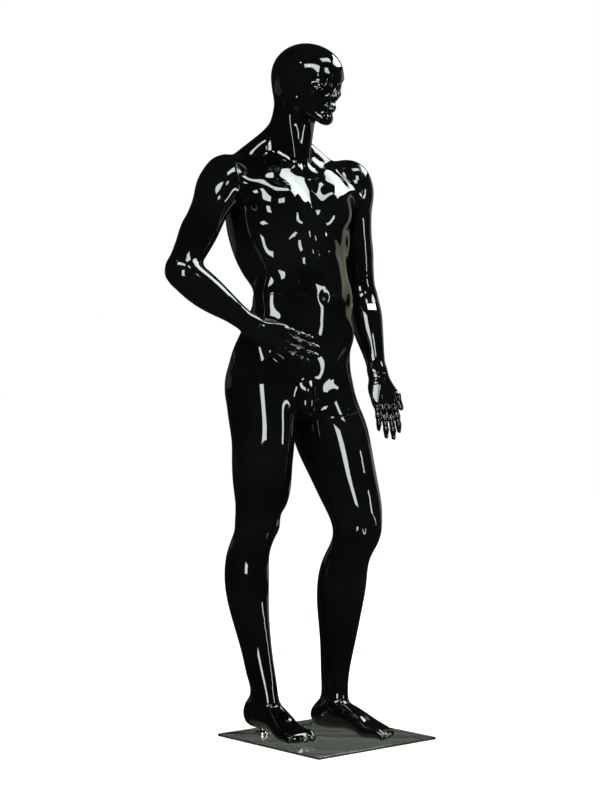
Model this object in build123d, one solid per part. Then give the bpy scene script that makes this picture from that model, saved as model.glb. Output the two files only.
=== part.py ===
"""Full body display mannequin, standing on a glass plate, as separate shells with bayonet fittings.

Row frame: origin at the centre of the glass plate's underside, +Z up. The figure faces -Y and its
left hand side is +X. Everything is in millimetres.
"""

import math
import os

from build123d import *

# Base
PLATE_SIDE = 400
PLATE_THICK = 6
PLATE_CORNER_R = 3
SPIGOT_XY = (-113, 122)
FLANGE_R = 19.5
FLANGE_THICK = 5
GASKET_THICK = 1
ROD_R = 5
ROD_TOP = 130
BOLT_R = 4
BOLT_HEAD_R = 8
BOLT_HEAD_DEPTH = 4
FLANGE_THREAD_DEPTH = 4

# Shells
WALL = 4
CAP = 12
SEAM = 1.0
FACING = -7.5          # yaw of the trunk, degrees, negative towards the figure's right
TRUNK_X, TRUNK_Y = -52, 93
SHOULDER_SEAM = 191    # half distance between the two shoulder seams
WAIST_Z = 1137
THIGH_SEAM_AT = (33, 38, 835)
THIGH_SEAM_NORMAL = (-0.2, 0, 0.98)

# Heel socket
SOCKET_CLEARANCE = 0.1
SOCKET_R = 8
SOCKET_BOTTOM, SOCKET_TOP = 32, 140
GRUB_R = 3
GRUB_LENGTH = 12
GRUB_Z = 62

# Bayonet fittings: plate radius, plate thickness, stud radius, ear length, ear width, ear thickness
BIG = dict(plate_r=35, plate_t=5, stud_r=6, ear_l=13, ear_w=6, ear_t=4)
MID = dict(plate_r=30, plate_t=5, stud_r=6, ear_l=13, ear_w=6, ear_t=4)
SMALL = dict(plate_r=15, plate_t=4, stud_r=4, ear_l=8, ear_w=4, ear_t=3)
STUD_CLEARANCE = 0.08
EAR_GAP = 0.3
SCREW_R = 2
SCREW_HEAD_R = 4
SCREW_LENGTH = 11
SCREW_CIRCLE = 0.74    # screw circle as a share of the plate radius
STUD_HOLE_R = 17       # clearance behind a big or mid fitting, inside the shell
SMALL_HOLE_R = 9.5

# Arm bones: shoulder, elbow and wrist centres, and the tip of the middle finger
RIGHT_ARM = dict(
    shoulder=(-244, 118, 1424), elbow=(-414, 72, 1188), wrist=(-234, 3, 1050), tip=(-99, -92, 990)
)
LEFT_ARM = dict(
    shoulder=(140, 68, 1442), elbow=(203, 90, 1150), wrist=(177, -7, 934), tip=(171, -68, 771)
)

# Across each forearm, and out of each palm
RIGHT_SIDE, LEFT_SIDE = (0, 0, 1), (1, 0, 0)
RIGHT_PALM, LEFT_PALM = (0.72, 0.69, 0), (0.30, 0.95, 0)

# Sticker on the left forearm
LABEL_THICK = 0.35
LABEL_DOWN = 45
LABEL_LENGTH, LABEL_WIDTH = 30, 24
LABEL_OUT = (0.761, -0.649, 0)


def unit(v):
    return Vector(*v).normalized()


def facing(yaw):
    """Plane axes of a figure part that is turned by yaw: its left, and its back."""
    a = math.radians(yaw)
    return Vector(math.cos(a), math.sin(a), 0), Vector(-math.sin(a), math.cos(a), 0)


TRUNK_LEFT, TRUNK_BACK = facing(FACING)


def ring(plane, half_width, front, back, fullness=2.2, count=12):
    """One closed section: front is the reach towards the plane's -y, back towards its +y."""
    points = []
    for i in range(count):
        t = 2 * math.pi * i / count
        c, s = math.cos(t), math.sin(t)
        x = half_width * math.copysign(abs(c) ** (2 / fullness), c)
        y = (back if s > 0 else front) * math.copysign(abs(s) ** (2 / fullness), s)
        points.append(plane.from_local_coords((x, y, 0)))
    return Wire(Spline(*points, periodic=True))


def drawn_in(places, amount):
    """Move the first and the last place towards the middle, for the inside of a shell."""
    step = math.copysign(amount, places[-1] - places[0])
    return [places[0] + step] + places[1:-1] + [places[-1] - step]


def level_loft(stations, inset=0.0, fullness=2.2):
    """Loft through level sections: (z, x, y, yaw, half width, front, back)."""
    wires = []
    levels = drawn_in([s[0] for s in stations], inset)
    for z, (_, x, y, yaw, half_width, front, back) in zip(levels, stations):
        plane = Plane(origin=(x, y, z), x_dir=facing(yaw)[0], z_dir=(0, 0, 1))
        wires.append(ring(plane, half_width - inset, front - inset, back - inset, fullness))
    return Solid.make_loft(wires)


def bone_loft(start, end, side, stations, inset=0.0):
    """Loft along a straight bone: (share of the way, offset along side, half width, front, back)."""
    a, b = Vector(*start), Vector(*end)
    along = (b - a).normalized()
    across = (Vector(*side) - along * Vector(*side).dot(along)).normalized()
    wires = []
    shares = drawn_in([s[0] for s in stations], inset / (b - a).length)
    for share, (_, offset, half_width, front, back) in zip(shares, stations):
        plane = Plane(origin=a + (b - a) * share + across * offset, x_dir=across, z_dir=along)
        wires.append(ring(plane, half_width - inset, front - inset, back - inset))
    return Solid.make_loft(wires)


def ball(centre, radius):
    return Solid.make_sphere(radius, Plane(origin=centre))


def tapered(start, end, r_start, r_end):
    """A finger or toe segment with rounded ends."""
    a, b = Vector(*start), Vector(*end)
    core = Solid.make_cone(r_start, r_end, (b - a).length, Plane(origin=a, z_dir=b - a))
    return core + ball(a, r_start) + ball(b, r_end)


def joined(pieces):
    whole = pieces[0]
    for piece in pieces[1:]:
        whole = whole + piece
    return whole


def cut_below(solid, origin, normal):
    """Keep the side that the normal points to."""
    return split(solid, bisect_by=Plane(origin=origin, z_dir=normal), keep=Keep.TOP)


def hollow(make, cuts):
    """A shell: make(0, 0) is the outside and make(WALL, CAP) the inside. Each cut is (point, normal),
    and keeps the side its normal points to, with a cap of thickness CAP left across the end."""
    outside, inside = make(0, 0), make(WALL, CAP)
    for origin, normal in cuts:
        n = unit(normal)
        outside = cut_below(outside, origin, n)
        inside = cut_below(inside, Vector(*origin) + n * CAP, n)
    return outside - inside


# ---------------------------------------------------------------- bayonet fittings

def fitting_plane(origin, outward, turn_dir):
    """A plane on a cap's face: its z points out of the cap."""
    n = unit(outward)
    x = Vector(*turn_dir)
    return Plane(origin=origin, x_dir=(x - n * x.dot(n)).normalized(), z_dir=n)


def disc(plane, radius, low, high):
    return Solid.make_cylinder(radius, high - low, Plane(plane.from_local_coords((0, 0, low)),
                                                         x_dir=plane.x_dir, z_dir=plane.z_dir))


def bar(plane, length, width, low, high):
    box = Box(length, width, high - low)
    return plane * Pos(0, 0, (low + high) / 2) * box


def screw_places(plane, size):
    r = size["plate_r"] * SCREW_CIRCLE
    for k in range(3):
        a = math.radians(45 + 120 * k)
        yield Plane(plane.from_local_coords((r * math.cos(a), r * math.sin(a), 0)),
                    x_dir=plane.x_dir, z_dir=plane.z_dir)


def screw(plane):
    """Countersunk screw whose head is flush with the plane."""
    head = Solid.make_cone(SCREW_R, SCREW_HEAD_R, SCREW_HEAD_R - SCREW_R,
                           Plane(plane.from_local_coords((0, 0, SCREW_R - SCREW_HEAD_R)),
                                 x_dir=plane.x_dir, z_dir=plane.z_dir))
    drive = bar(plane, 2 * SCREW_R, 0.8, -1, 1)
    return disc(plane, SCREW_R, -SCREW_LENGTH, SCREW_R - SCREW_HEAD_R) + head - drive


def screw_group(plane, size):
    return Compound(children=[screw(p) for p in screw_places(plane, size)])


def screw_holes(plane, size):
    head = SCREW_HEAD_R - SCREW_R
    holes = []
    for p in screw_places(plane, size):
        cone_at = Plane(p.from_local_coords((0, 0, -head)), x_dir=p.x_dir, z_dir=p.z_dir)
        holes.append(disc(p, SCREW_R, -SCREW_LENGTH, 0)
                     + Solid.make_cone(SCREW_R, SCREW_HEAD_R, head, cone_at))
    return joined(holes)


def socket_plate(plane, size, screws=True):
    """Disc set flush in a cap, with a round bore and a slot that lets the stud's ears through."""
    plate = disc(plane, size["plate_r"], -size["plate_t"], 0)
    plate = plate - disc(plane, size["stud_r"] + STUD_CLEARANCE, -size["plate_t"], 0)
    slot_plane = plane.rotated((0, 0, 90))
    slot = bar(slot_plane, 2 * size["ear_l"] + 2, size["ear_w"] + 2, -size["plate_t"], 0)
    plate = plate - slot
    return plate - screw_holes(plane, size) if screws else plate


def stud_plate(plane, size, screws=True):
    """Disc set flush in the other cap, with a stud whose ears lie behind the socket plate."""
    reach = SEAM + size["plate_t"] + EAR_GAP
    plate = disc(plane, size["plate_r"], -size["plate_t"], 0)
    stud = disc(plane, size["stud_r"], 0, reach + size["ear_t"])
    ears = bar(plane, 2 * size["ear_l"], size["ear_w"], reach, reach + size["ear_t"])
    whole = plate + stud + ears
    return whole - screw_holes(plane, size) if screws else whole


def fitting_pocket(plane, size, screws=True, hole_r=STUD_HOLE_R):
    """What a cap loses to its plate, its screws and the ears behind it."""
    pocket = disc(plane, size["plate_r"], -size["plate_t"], 0) + disc(plane, hole_r, -CAP - 1, 0)
    return pocket + screw_holes(plane, size) if screws else pocket


# ---------------------------------------------------------------- base

def glass_plate():
    plate = Box(PLATE_SIDE, PLATE_SIDE, PLATE_THICK, align=(Align.CENTER, Align.CENTER, Align.MIN))
    plate = fillet(plate.edges().filter_by(Axis.Z), PLATE_CORNER_R)
    plate = chamfer(plate.edges().group_by(Axis.Z)[-1] + plate.edges().group_by(Axis.Z)[0], 0.6)
    return plate - bolt_hole()


def spigot_plane(z):
    return Plane(origin=(*SPIGOT_XY, z), z_dir=(0, 0, 1))


def bolt_hole():
    cone = Solid.make_cone(BOLT_HEAD_R, BOLT_R, BOLT_HEAD_DEPTH, spigot_plane(0))
    return cone + Solid.make_cylinder(BOLT_R, PLATE_THICK, spigot_plane(0))


def plate_bolt():
    length = PLATE_THICK + GASKET_THICK + FLANGE_THREAD_DEPTH
    cone = Solid.make_cone(BOLT_HEAD_R, BOLT_R, BOLT_HEAD_DEPTH, spigot_plane(0))
    socket = extrude(spigot_plane(0) * RegularPolygon(3, 6), 2.5)
    return cone + Solid.make_cylinder(BOLT_R, length, spigot_plane(0)) - socket


def flange_gasket():
    ring_part = Solid.make_cylinder(FLANGE_R - 0.5, GASKET_THICK, spigot_plane(PLATE_THICK))
    return ring_part - Solid.make_cylinder(BOLT_R, GASKET_THICK, spigot_plane(PLATE_THICK))


def spigot_flange():
    bottom = PLATE_THICK + GASKET_THICK
    disc_part = Solid.make_cylinder(FLANGE_R, FLANGE_THICK, spigot_plane(bottom))
    hub = Solid.make_cone(12, 8, 6, spigot_plane(bottom + FLANGE_THICK))
    body = disc_part + hub
    body = body - Solid.make_cylinder(BOLT_R, FLANGE_THREAD_DEPTH, spigot_plane(bottom))
    rod_from = bottom + FLANGE_THREAD_DEPTH + 1
    return body - Solid.make_cylinder(ROD_R, 20, spigot_plane(rod_from))


def spigot_rod():
    rod_from = PLATE_THICK + GASKET_THICK + FLANGE_THREAD_DEPTH + 1
    rod = Solid.make_cylinder(ROD_R, ROD_TOP - rod_from, spigot_plane(rod_from))
    return chamfer(rod.edges().group_by(Axis.Z)[-1], 1.5)


# ---------------------------------------------------------------- trunk

HIP_STATIONS = [
    (1160, -50, 43, FACING, 137, 99, 96),
    (1137, -50, 42, FACING, 136, 98, 96),
    (1095, -53, 43, FACING, 143, 99, 99),
    (1045, -57, 54, FACING, 157, 106, 104),
    (976, -62, 72, FACING, 165, 112, 114),
    (915, -65, 76, FACING, 178, 118, 126),
    (868, -68, 72, FACING, 164, 104, 118),
    (828, -72, 68, FACING, 110, 64, 80),
]
RIGHT_LEG_STATIONS = [
    (930, -152, 88, -5, 78, 92, 100),
    (880, -150, 86, -5, 84, 96, 98),
    (820, -148, 82, -5, 80, 92, 92),
    (750, -146, 78, -5, 73, 84, 84),
    (690, -145, 80, -5, 68, 80, 80),
    (622, -144, 86, -5, 62, 76, 74),
    (566, -143, 104, -5, 57, 65, 64),
    (535, -142, 113, -5, 55, 62, 62),
    (485, -143, 139, -4, 53, 60, 60),
    (420, -143, 150, -4, 56, 63, 63),
    (368, -141, 150, -3, 53, 61, 61),
    (310, -138, 142, -3, 47, 55, 55),
    (220, -131, 124, -2, 39, 46, 46),
    (155, -127, 110, 0, 36, 44, 44),
    (112, -123, 102, 0, 34, 46, 46),
    (75, -121, 104, 0, 33, 52, 56),
]
LEFT_LEG_STATIONS = [
    (930, 20, 62, 6, 80, 96, 98),
    (880, 25, 54, 8, 83, 98, 100),
    (820, 32, 34, 12, 84, 104, 104),
    (746, 38, 13, 16, 78, 104, 104),
    (681, 46, -9, 18, 73, 92, 92),
    (617, 54, -32, 18, 66, 83, 82),
    (566, 61, -45, 18, 60, 75, 72),
    (513, 63, -41, 18, 56, 67, 65),
    (466, 62, -10, 17, 55, 64, 64),
    (388, 60, 12, 15, 57, 66, 66),
    (336, 59, 18, 14, 52, 62, 62),
    (229, 58, 25, 12, 38, 47, 47),
    (185, 58, 30, 11, 34, 41, 41),
    (130, 58, 33, 10, 32, 38, 38),
    (95, 57, 32, 10, 33, 44, 44),
    (58, 55, 34, 10, 32, 50, 54),
]
TORSO_STATIONS = [
    (1120, -50, 42, FACING, 137, 98, 96),
    (1137, -50, 42, FACING, 136, 98, 96),
    (1198, -52, 50, FACING, 146, 106, 104),
    (1250, -54, 66, FACING, 160, 112, 112),
    (1300, -55, 80, FACING, 178, 118, 116),
    (1350, -54, 86, FACING, 196, 120, 114),
    (1400, -53, 91, FACING, 204, 112, 108),
    (1440, -52, 95, FACING, 204, 92, 92),
    (1475, -51, 97, FACING, 198, 70, 74),
    (1500, -55, 102, FACING, 168, 56, 60),
    (1520, -58, 103, FACING, 126, 50, 54),
    (1540, -58, 101, FACING, 88, 50, 54),
    (1560, -57, 95, FACING, 64, 52, 56),
]
NECK_STATIONS = [
    (1480, -51, 97, FACING, 66, 60, 58),
    (1520, -49, 92, FACING, 62, 58, 56),
    (1560, -52, 84, -4, 59, 55, 62),
    (1600, -50, 69, 2, 57, 54, 66),
    (1640, -49, 49, 8, 56, 52, 66),
]
HEAD_YAW = 18
HEAD_STATIONS = [
    (1584, -39, 1, HEAD_YAW, 26, 48, 22),
    (1592, -40, 7, HEAD_YAW, 40, 62, 34),
    (1610, -41, 15, HEAD_YAW, 54, 76, 56),
    (1640, -42, 23, HEAD_YAW, 66, 88, 84),
    (1670, -43, 27, HEAD_YAW, 72, 94, 94),
    (1700, -43, 28, HEAD_YAW, 76, 97, 98),
    (1730, -43, 29, HEAD_YAW, 75, 92, 97),
    (1755, -43, 30, HEAD_YAW, 66, 80, 86),
    (1775, -43, 31, HEAD_YAW, 48, 58, 64),
    (1787, -43, 31, HEAD_YAW, 26, 30, 34),
    (1790, -43, 31, HEAD_YAW, 10, 12, 14),
]


# share of the length, half width, height of the top, lift of the sole, sideways drift
FOOT_STATIONS = [
    (0.02, 22, 0.60, 0.55, 0), (0.10, 31, 0.92, 0.16, 0), (0.24, 34, 1.00, 0.08, 0),
    (0.42, 36, 0.97, 0.16, 2), (0.58, 41, 0.74, 0.12, 3), (0.72, 46, 0.50, 0.0, 3),
    (0.86, 43, 0.36, 0.0, 0), (0.95, 34, 0.28, 0.02, -3), (0.995, 18, 0.20, 0.07, -5),
]
FOOT_ARCH = 22         # how far the sole lifts where its lift is 1
BALL_SHARE = 0.72


def foot_loft(heel, toe, height, inset):
    """Foot from heel to toe, with upright sections across it. The sole drops from heel to ball."""
    a, b = Vector(*heel), Vector(*toe)
    along = Vector(b.X - a.X, b.Y - a.Y, 0).normalized()
    across = Vector(0, 0, 1).cross(along)
    length = (b - a).length
    wires = []
    shares = drawn_in([s[0] for s in FOOT_STATIONS], inset / length)
    for share, (_, half_width, top, lift, drift) in zip(shares, FOOT_STATIONS):
        base = a.Z + (b.Z - a.Z) * min(1.0, share / BALL_SHARE)
        low = base + lift * FOOT_ARCH + inset
        high = base + top * height - inset
        centre = a + along * (length * share) + across * drift
        plane = Plane(origin=(centre.X, centre.Y, (low + high) / 2), x_dir=across, z_dir=along)
        half = (high - low) / 2
        wires.append(ring(plane, half_width - inset, half, half, 2.6))
    return Solid.make_loft(wires)


def right_foot(inset):
    return foot_loft((-121, 160, 27), (-118, -86, 7), 82, inset)


def left_foot(inset):
    return foot_loft((44, 92, 14), (84, -161, 7), 78, inset)


def waist_plane(side):
    """Face of the waist seam: side is 1 for the torso's half, looking down, and -1 for the hips'."""
    return fitting_plane((-50, 42, WAIST_Z + side * SEAM / 2), (0, 0, -side), TRUNK_LEFT)


def thigh_plane(side):
    """Face of the thigh seam: side is 1 for the hips' half, looking down, and -1 for the leg's."""
    n = unit(THIGH_SEAM_NORMAL)
    return fitting_plane(Vector(*THIGH_SEAM_AT) + n * (side * SEAM / 2), n * -side, TRUNK_LEFT)


def lower_shell():
    face = thigh_plane(1)

    def make(inset, cap):
        trunk = level_loft(HIP_STATIONS, inset) + level_loft(LEFT_LEG_STATIONS[:3], inset)
        trunk = cut_below(trunk, face.origin - face.z_dir * cap, -face.z_dir)
        return trunk + level_loft(RIGHT_LEG_STATIONS, inset) + right_foot(inset)

    top = waist_plane(-1)
    return hollow(make, [(top.origin, -top.z_dir)])


def heel_filling():
    """Resin cast around the socket tube, inside the heel and ankle."""
    post = Solid.make_cylinder(SOCKET_R + 6, SOCKET_TOP - 10, spigot_plane(10))
    within = level_loft(RIGHT_LEG_STATIONS[-6:], WALL / 2) + right_foot(WALL / 2)
    return post & within


def hips_and_right_leg():
    shell = lower_shell() + heel_filling()
    shell = shell - fitting_pocket(waist_plane(-1), BIG) - fitting_pocket(thigh_plane(1), BIG)
    shell = shell - Solid.make_cylinder(SOCKET_R, SOCKET_TOP - 10, spigot_plane(10))
    return shell - grub_bore(60)


def foot_socket():
    bore = SOCKET_CLEARANCE + ROD_R
    tube = Solid.make_cylinder(SOCKET_R, SOCKET_TOP - SOCKET_BOTTOM, spigot_plane(SOCKET_BOTTOM))
    tube = tube - Solid.make_cylinder(bore, SOCKET_TOP, spigot_plane(0))
    return tube - grub_bore(GRUB_LENGTH)


def grub_bore(length):
    at = Plane(origin=(SPIGOT_XY[0], SPIGOT_XY[1] + ROD_R + EAR_GAP, GRUB_Z), z_dir=(0, 1, 0))
    return Solid.make_cylinder(GRUB_R, length, at)


def grub_screw():
    outer_end = SPIGOT_XY[1] + ROD_R + EAR_GAP + GRUB_LENGTH
    drive = Plane(origin=(SPIGOT_XY[0], outer_end, GRUB_Z), z_dir=(0, -1, 0))
    return grub_bore(GRUB_LENGTH) - extrude(drive * RegularPolygon(1.6, 6), 3)


def left_leg():
    face = thigh_plane(-1)

    def make(inset, cap):
        return level_loft(LEFT_LEG_STATIONS, inset) + left_foot(inset)

    return hollow(make, [(face.origin, -face.z_dir)]) - fitting_pocket(face, BIG)


def shoulder_plane(sign, side, z):
    """Face of a shoulder seam. sign is -1 for the right and 1 for the left; side is 1 for the
    torso's half, looking outward, and -1 for the arm's."""
    out = TRUNK_LEFT * sign
    middle = Vector(TRUNK_X, TRUNK_Y, z)
    return fitting_plane(middle + out * (SHOULDER_SEAM - side * SEAM / 2), out * side, (0, 0, 1))


def head_and_torso():
    waist = waist_plane(1)
    right, left = (shoulder_plane(s, 1, arm["shoulder"][2])
                   for s, arm in ((-1, RIGHT_ARM), (1, LEFT_ARM)))

    def make(inset, cap):
        trunk = level_loft(TORSO_STATIONS, inset)
        for face in (waist, right, left):
            trunk = cut_below(trunk, face.origin - face.z_dir * cap, -face.z_dir)
        return trunk + level_loft(NECK_STATIONS, inset) + level_loft(HEAD_STATIONS, inset)

    shell = hollow(make, [])
    for face, size in ((waist, BIG), (right, MID), (left, MID)):
        shell = shell - fitting_pocket(face, size)
    return shell


UPPER_ARM = [
    (-0.10, 0, 50, 48, 48), (0.0, 0, 57, 54, 54), (0.25, 2, 51, 54, 52), (0.5, 0, 47, 48, 47),
    (0.75, 0, 46, 44, 44), (1.0, 0, 43, 42, 42),
]
FOREARM = [
    (0.0, 0, 42, 42, 42), (0.18, 0, 45, 44, 46), (0.38, 0, 42, 40, 41), (0.62, 0, 34, 32, 33),
    (0.85, 0, 28, 24, 24), (1.0, 0, 28, 22, 22),
]


def wrist_plane(arm, side):
    """Face of a wrist seam: side is 1 for the arm's half, looking to the hand, and -1 for the hand's."""
    along = (Vector(*arm["wrist"]) - Vector(*arm["elbow"])).normalized()
    return fitting_plane(Vector(*arm["wrist"]) - along * (side * SEAM / 2), along * side, (0, 0, 1))


def arm_shell(arm, sign, wrist_side):
    shoulder = shoulder_plane(sign, -1, arm["shoulder"][2])
    wrist = wrist_plane(arm, 1)

    def make(inset, cap):
        upper = bone_loft(arm["shoulder"], arm["elbow"], TRUNK_LEFT * sign, UPPER_ARM, inset)
        upper = upper + ball(arm["shoulder"], 63 - inset)
        upper = cut_below(upper, shoulder.origin - shoulder.z_dir * cap, -shoulder.z_dir)
        lower = bone_loft(arm["elbow"], arm["wrist"], wrist_side, FOREARM, inset)
        return upper + ball(arm["elbow"], 45 - inset) + lower

    shell = hollow(make, [(wrist.origin, -wrist.z_dir)])
    shell = shell - fitting_pocket(shoulder, MID)
    return shell - fitting_pocket(wrist, SMALL, False, SMALL_HOLE_R)


# Hand: palm sections as (share to the fingertips, half width, half thickness), then each finger as
# (root across, tip across, length share, root radius, tip radius)
PALM = [(0.0, 26, 19), (0.12, 28, 16), (0.30, 35, 14), (0.48, 37, 12), (0.56, 34, 10)]
FINGERS = [
    (-27, -31, 0.90, 9, 7), (-9.5, -11, 1.0, 9.5, 7.5), (8.5, 9, 0.97, 9, 7), (25, 26, 0.84, 8, 6.5)
]
THUMB = dict(root=(0.12, -22), middle=(0.34, -46), tip=(0.54, -52), radii=(13, 10.5, 8))
FINGER_DROOP = 10


def hand_solid(arm, palm_dir, thumb_sign):
    """palm_dir points out of the palm. Across is positive on the little finger's side."""
    start, tip = Vector(*arm["wrist"]), Vector(*arm["tip"])
    reach = tip - start
    along = reach.normalized()
    palm = (Vector(*palm_dir) - along * Vector(*palm_dir).dot(along)).normalized()
    across = palm.cross(along) * thumb_sign

    def place(share, side, down=0.0):
        return start + reach * share + across * side + palm * down

    wires = []
    for share, half_width, half_thick in PALM:
        plane = Plane(origin=place(share, 0), x_dir=across, z_dir=along)
        wires.append(ring(plane, half_width, half_thick, half_thick, 2.5))
    pieces = [Solid.make_loft(wires)]
    for root, end, share, r_root, r_tip in FINGERS:
        knuckle = place(0.50, root)
        joint = place(0.50 + (share - 0.50) * 0.52, (root + end) / 2, 1.5)
        tip_at = place(share - r_tip / reach.length, end, FINGER_DROOP)
        pieces += [tapered(knuckle, joint, r_root, (r_root + r_tip) / 2),
                   tapered(joint, tip_at, (r_root + r_tip) / 2, r_tip)]
    r = THUMB["radii"]
    root, middle, end = (place(*THUMB[k], d) for k, d in (("root", 2), ("middle", 8), ("tip", 12)))
    pieces += [tapered(root, middle, r[0], r[1]), tapered(middle, end, r[1], r[2])]
    hand = joined(pieces)
    face = wrist_plane(arm, -1)
    hand = cut_below(hand, face.origin, -face.z_dir)
    return hand - disc(face, SMALL["plate_r"], -SMALL["plate_t"], 0)


def right_hand():
    return hand_solid(RIGHT_ARM, RIGHT_PALM, -1)


def left_hand():
    return hand_solid(LEFT_ARM, LEFT_PALM, 1)


def forearm_label():
    """Blank sticker on the outer side of the left forearm, just below the elbow."""
    start, end = Vector(*LEFT_ARM["elbow"]), Vector(*LEFT_ARM["wrist"])
    outer = bone_loft(start, end, LEFT_SIDE, FOREARM, -LABEL_THICK)
    skin = outer - bone_loft(start, end, LEFT_SIDE, FOREARM, 0)
    along = (end - start).normalized()
    out = Vector(*LABEL_OUT)
    out = (out - along * out.dot(along)).normalized()
    at = Plane(origin=start + along * LABEL_DOWN + out * 45, x_dir=along, z_dir=out)
    return skin & (at * Box(LABEL_LENGTH, LABEL_WIDTH, 40))


def build():
    waist_up, waist_down = waist_plane(1), waist_plane(-1)
    thigh_up, thigh_down = thigh_plane(1), thigh_plane(-1)
    parts = {
        "glass_plate": glass_plate(),
        "plate_bolt": plate_bolt(),
        "flange_gasket": flange_gasket(),
        "spigot_flange": spigot_flange(),
        "spigot_rod": spigot_rod(),
        "hips_and_right_leg": hips_and_right_leg(),
        "foot_socket": foot_socket(),
        "foot_grub_screw": grub_screw(),
        "left_leg": left_leg(),
        "head_and_torso": head_and_torso(),
        "right_arm": arm_shell(RIGHT_ARM, -1, RIGHT_SIDE),
        "left_arm": arm_shell(LEFT_ARM, 1, LEFT_SIDE),
        "right_hand": right_hand(),
        "left_hand": left_hand(),
        "forearm_label": forearm_label(),
        "waist_socket_plate": socket_plate(waist_down, BIG),
        "waist_socket_screws": screw_group(waist_down, BIG),
        "waist_stud_plate": stud_plate(waist_up, BIG),
        "waist_stud_screws": screw_group(waist_up, BIG),
        "thigh_socket_plate": socket_plate(thigh_up, BIG),
        "thigh_socket_screws": screw_group(thigh_up, BIG),
        "thigh_stud_plate": stud_plate(thigh_down, BIG),
        "thigh_stud_screws": screw_group(thigh_down, BIG),
    }
    for name, sign, arm in (("right", -1, RIGHT_ARM), ("left", 1, LEFT_ARM)):
        torso_face = shoulder_plane(sign, 1, arm["shoulder"][2])
        arm_face = shoulder_plane(sign, -1, arm["shoulder"][2])
        parts[name + "_shoulder_socket_plate"] = socket_plate(torso_face, MID)
        parts[name + "_shoulder_socket_screws"] = screw_group(torso_face, MID)
        parts[name + "_shoulder_stud_plate"] = stud_plate(arm_face, MID)
        parts[name + "_shoulder_stud_screws"] = screw_group(arm_face, MID)
        parts[name + "_wrist_socket"] = socket_plate(wrist_plane(arm, 1), SMALL, False)
        parts[name + "_wrist_stud"] = stud_plate(wrist_plane(arm, -1), SMALL, False)
    return parts


os.makedirs("parts", exist_ok=True)
for node, shape in build().items():
    export_step(shape, f"parts/{node}.step")
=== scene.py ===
"""Full body display mannequin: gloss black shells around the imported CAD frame.

The body is one smooth signed distance field, in millimetres, built from sections and muscles. Each
shell is meshed from the part of the field that belongs to it and cut at its seams.
"""

import math

import bmesh
import bpy
import numpy as np
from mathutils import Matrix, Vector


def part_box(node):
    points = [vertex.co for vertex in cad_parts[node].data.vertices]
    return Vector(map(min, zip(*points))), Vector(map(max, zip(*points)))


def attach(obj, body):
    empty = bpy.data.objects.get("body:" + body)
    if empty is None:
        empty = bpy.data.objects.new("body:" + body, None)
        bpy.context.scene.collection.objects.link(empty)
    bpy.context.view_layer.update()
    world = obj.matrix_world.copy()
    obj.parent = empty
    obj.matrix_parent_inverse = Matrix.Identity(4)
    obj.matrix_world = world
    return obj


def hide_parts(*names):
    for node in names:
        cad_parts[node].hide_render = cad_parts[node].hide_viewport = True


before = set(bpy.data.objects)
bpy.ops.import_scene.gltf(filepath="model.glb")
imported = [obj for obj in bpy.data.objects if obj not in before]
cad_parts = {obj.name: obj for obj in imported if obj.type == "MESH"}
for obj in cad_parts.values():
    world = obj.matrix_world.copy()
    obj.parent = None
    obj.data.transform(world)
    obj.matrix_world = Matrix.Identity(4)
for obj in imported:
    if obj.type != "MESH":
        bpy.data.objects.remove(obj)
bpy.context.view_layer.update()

import openvdb
from mathutils import Matrix, Vector
from mathutils.bvhtree import BVHTree

MM = 0.001
CELL = 3.6          # grid of the large shells
HAND_CELL = 1.7
SMOOTH = 9.0                               # reach of the final smoothing
ARM_SMOOTH = 6.5
HAND_SMOOTH = 2.7
LIP = 0.3                                  # rounding where a shell ends at a seam
SEAM = 0.5
THINNEST = 4                               # what a section's reach never goes below

SHOULDER_SEAM = 191                        # distance of each shoulder seam from the trunk's middle
TRUNK_MIDDLE = np.array([-52.0, 93.0, 0.0])
WAIST_Z = 1137
THIGH_SEAM_AT = np.array([33.0, 38.0, 835.0])
THIGH_SEAM_NORMAL = np.array([-0.2, 0.0, 0.98]) / math.hypot(0.2, 0.98)


# ---------------------------------------------------------------- vectors and curves

def vec(*v):
    return np.array(v, float)


def unit(v):
    v = np.asarray(v, float)
    return v / np.linalg.norm(v)


def facing(yaw):
    """Left and front directions of something that is turned by yaw degrees."""
    a = math.radians(yaw)
    return vec(math.cos(a), math.sin(a), 0), vec(math.sin(a), -math.cos(a), 0)


def curve(xs, ys):
    """Natural cubic through the points, straight beyond its ends."""
    xs, ys = np.asarray(xs, float), np.asarray(ys, float)
    n, h = len(xs), np.diff(xs)
    m = np.eye(n)
    rhs = np.zeros((n,) + ys.shape[1:])
    slopes = np.diff(ys, axis=0) / h.reshape(-1, *[1] * (ys.ndim - 1))
    for i in range(1, n - 1):
        m[i, i - 1:i + 2] = h[i - 1], 2 * (h[i - 1] + h[i]), h[i]
        rhs[i] = 6 * (slopes[i] - slopes[i - 1])
    bend = np.linalg.solve(m, rhs)

    def at(x):
        x = np.clip(x, xs[0], xs[-1])
        i = np.clip(np.searchsorted(xs, x) - 1, 0, n - 2)
        w = h[i]
        a, b = (xs[i + 1] - x) / w, (x - xs[i]) / w
        a, b, w = (t.reshape(t.shape + (1,) * (ys.ndim - 1)) for t in map(np.asarray, (a, b, w)))
        return (a * ys[i] + b * ys[i + 1]
                + ((a ** 3 - a) * bend[i] + (b ** 3 - b) * bend[i + 1]) * w * w / 6)

    return at


# ---------------------------------------------------------------- distance shapes

def smooth_min(a, b, k):
    h = np.maximum(k - np.abs(a - b), 0) / k
    return np.minimum(a, b) - h * h * h * k / 6


def smooth_max(a, b, k):
    return -smooth_min(-a, -b, k)


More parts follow.
